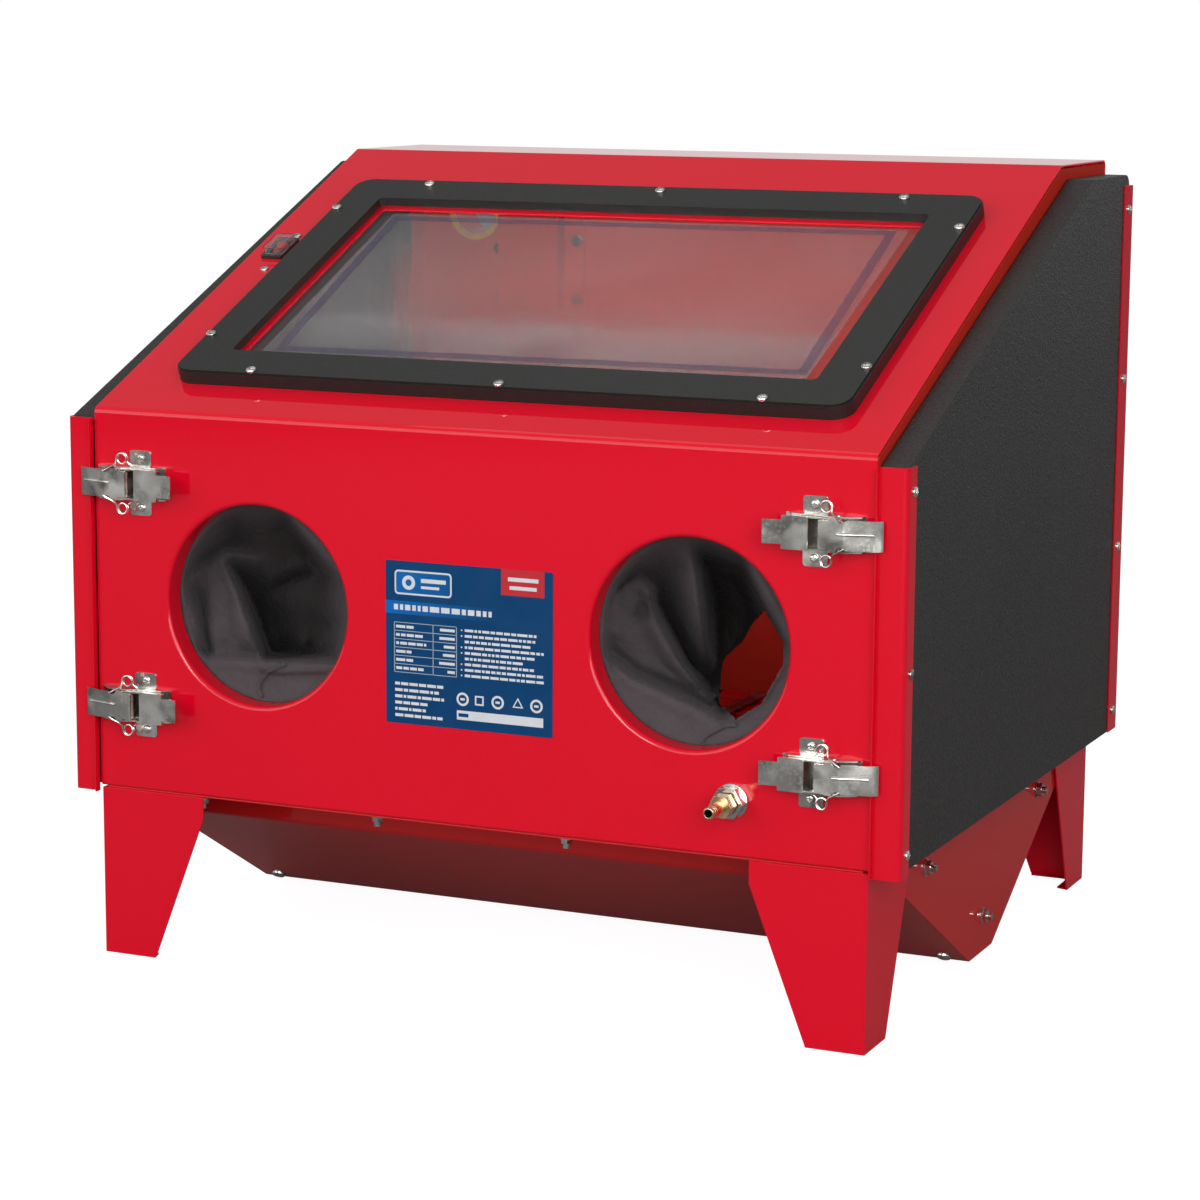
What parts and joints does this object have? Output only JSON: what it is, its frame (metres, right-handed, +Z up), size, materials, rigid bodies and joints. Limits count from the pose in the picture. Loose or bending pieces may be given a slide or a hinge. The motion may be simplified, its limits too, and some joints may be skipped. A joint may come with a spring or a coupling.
{
  "type": "bench sandblast cabinet",
  "caption": "Bench sandblast cabinet with a sloping window, two sleeved arm holes, hinged side doors with toggle latches, a V hopper and angle legs.",
  "frame": {"origin": "centre of the footprint on the floor: half way between the door strips' screws and half way between the inlet's tip and the exhaust spigot's end", "axes": "+X to the right seen from the front, +Y from the front panel to the rear panel, +Z up"},
  "size_m": [0.6994, 0.655, 0.6255],
  "materials": {
    "red_paint": "gloss powder coat",
    "red_paint_inner": "gloss powder coat",
    "red_paint_shade": "gloss powder coat",
    "black_textured_steel": "fine wrinkle black coat",
    "black_textured_plastic": "grained black moulding",
    "window_glass": "clear",
    "protective_film": "clear film with violet adhesive edge",
    "black_rubber": "soft black",
    "yellow_rubber": "soft yellow",
    "zinc_fastener": "bright zinc",
    "zinc_plate": "zinc plated",
    "switch_black": "glossy",
    "switch_red": "glossy",
    "clear_boot": "clear flexible",
    "sleeve_fabric": "woven polyester",
    "label": "printed film",
    "brass": "turned",
    "hose_rubber": "matt",
    "media_hose": "clear PVC",
    "gun_alloy": "cast",
    "nozzle_ceramic": "ceramic",
    "grate_steel": "galvanised",
    "lamp_white": "white",
    "lamp_glass": "opal"
  },
  "bodies": {
    "cabinet": {"cabinet_shell": "red_paint", "rear_panel": "red_paint", "side_frames": "red_paint_inner", "hopper_trough": "red_paint_shade", "hopper_ends": "red_paint_shade", "hopper_bolts": "zinc_fastener", "flange_bolts": "zinc_fastener", "leg_front_left": "red_paint", "leg_front_right": "red_paint", "leg_rear_left": "red_paint", "leg_rear_right": "red_paint", "window_frame": "black_textured_plastic", "window_glass": "window_glass", "window_gasket": "black_rubber", "window_film": "protective_film", "panel_screws": "zinc_fastener", "switch_bezel": "switch_black", "switch_cover": "clear_boot", "sleeve_left": "sleeve_fabric", "sleeve_right": "sleeve_fabric", "sleeve_clamps": "zinc_fastener", "label_plate": "label", "inlet_nut": "zinc_fastener", "inlet_barb": "brass", "air_hose": "hose_rubber", "gun_body": "gun_alloy", "gun_nozzle": "nozzle_ceramic", "media_hose": "media_hose", "pickup_tube": "zinc_plate", "work_grate": "grate_steel", "lamp_housing": "lamp_white", "lamp_tube": "lamp_glass", "exhaust_spigot": "red_paint", "exhaust_gasket": "yellow_rubber", "baffle_box": "red_paint_inner", "baffle_bolts": "zinc_fastener", "hinge_leaves": "red_paint", "hinge_pins": "zinc_fastener", "latch_bases": "zinc_plate", "latch_screws": "zinc_fastener"},
    "rocker": {"switch_rocker": "switch_red"},
    "trigger": {"gun_trigger": "gun_alloy"},
    "door_left": {"door_skin_left": "black_textured_steel", "front_strip_left": "red_paint", "rear_strip_left": "red_paint", "door_seal_left": "black_rubber", "strip_screws_left": "zinc_fastener"},
    "lever_ll": {"latch_lever_ll": "zinc_plate"},
    "claw_ll": {"latch_claw_ll": "zinc_plate"},
    "lever_lu": {"latch_lever_lu": "zinc_plate"},
    "claw_lu": {"latch_claw_lu": "zinc_plate"},
    "door_right": {"door_skin_right": "black_textured_steel", "front_strip_right": "red_paint", "rear_strip_right": "red_paint", "door_seal_right": "black_rubber", "strip_screws_right": "zinc_fastener"},
    "lever_rl": {"latch_lever_rl": "zinc_plate"},
    "claw_rl": {"latch_claw_rl": "zinc_plate"},
    "lever_ru": {"latch_lever_ru": "zinc_plate"},
    "claw_ru": {"latch_claw_ru": "zinc_plate"}
  },
  "joints": [
    {"name": "switch_rock", "type": "hinge", "parent": "cabinet", "child": "rocker", "pos_m": [-0.2995, -0.02795, 0.54521], "axis": [-1, 0, 0], "range_deg": [0, 13]},
    {"name": "trigger_pull", "type": "hinge", "parent": "cabinet", "child": "trigger", "pos_m": [0.19, -0.037, 0.1548], "axis": [0, 0, 1], "range_deg": [0, 9], "stiffness_Nm_per_rad": 0.3},
    {"name": "door_left_swing", "type": "hinge", "parent": "cabinet", "child": "door_left", "pos_m": [-0.326, 0.287, 0.35], "axis": [0, 0, -1], "range_deg": [0, 105]},
    {"name": "latch_ll_open", "type": "hinge", "parent": "cabinet", "child": "lever_ll", "pos_m": [-0.2995, -0.2895, 0.206], "axis": [0, 0, -1], "range_deg": [0, 95]},
    {"name": "claw_ll_tilt", "type": "hinge", "parent": "lever_ll", "child": "claw_ll", "pos_m": [-0.2885, -0.2915, 0.206], "axis": [0, 0, -1], "range_deg": [-92, 0]},
    {"name": "latch_lu_open", "type": "hinge", "parent": "cabinet", "child": "lever_lu", "pos_m": [-0.301, -0.2895, 0.382], "axis": [0, 0, -1], "range_deg": [0, 95]},
    {"name": "claw_lu_tilt", "type": "hinge", "parent": "lever_lu", "child": "claw_lu", "pos_m": [-0.29, -0.2915, 0.382], "axis": [0, 0, -1], "range_deg": [-92, 0]},
    {"name": "door_right_swing", "type": "hinge", "parent": "cabinet", "child": "door_right", "pos_m": [0.326, 0.287, 0.35], "axis": [0, 0, 1], "range_deg": [0, 105]},
    {"name": "latch_rl_open", "type": "hinge", "parent": "cabinet", "child": "lever_rl", "pos_m": [0.298, -0.2895, 0.206], "axis": [0, 0, 1], "range_deg": [0, 95]},
    {"name": "claw_rl_tilt", "type": "hinge", "parent": "lever_rl", "child": "claw_rl", "pos_m": [0.287, -0.2915, 0.206], "axis": [0, 0, 1], "range_deg": [-92, 0]},
    {"name": "latch_ru_open", "type": "hinge", "parent": "cabinet", "child": "lever_ru", "pos_m": [0.298, -0.2895, 0.382], "axis": [0, 0, 1], "range_deg": [0, 95]},
    {"name": "claw_ru_tilt", "type": "hinge", "parent": "lever_ru", "child": "claw_ru", "pos_m": [0.287, -0.2915, 0.382], "axis": [0, 0, 1], "range_deg": [-92, 0]}
  ],
  "couplings": [
    {"joint": "claw_ll_tilt", "follows": "latch_ll_open", "ratio": -0.95},
    {"joint": "claw_lu_tilt", "follows": "latch_lu_open", "ratio": -0.95},
    {"joint": "claw_rl_tilt", "follows": "latch_rl_open", "ratio": -0.95},
    {"joint": "claw_ru_tilt", "follows": "latch_ru_open", "ratio": -0.95}
  ]
}
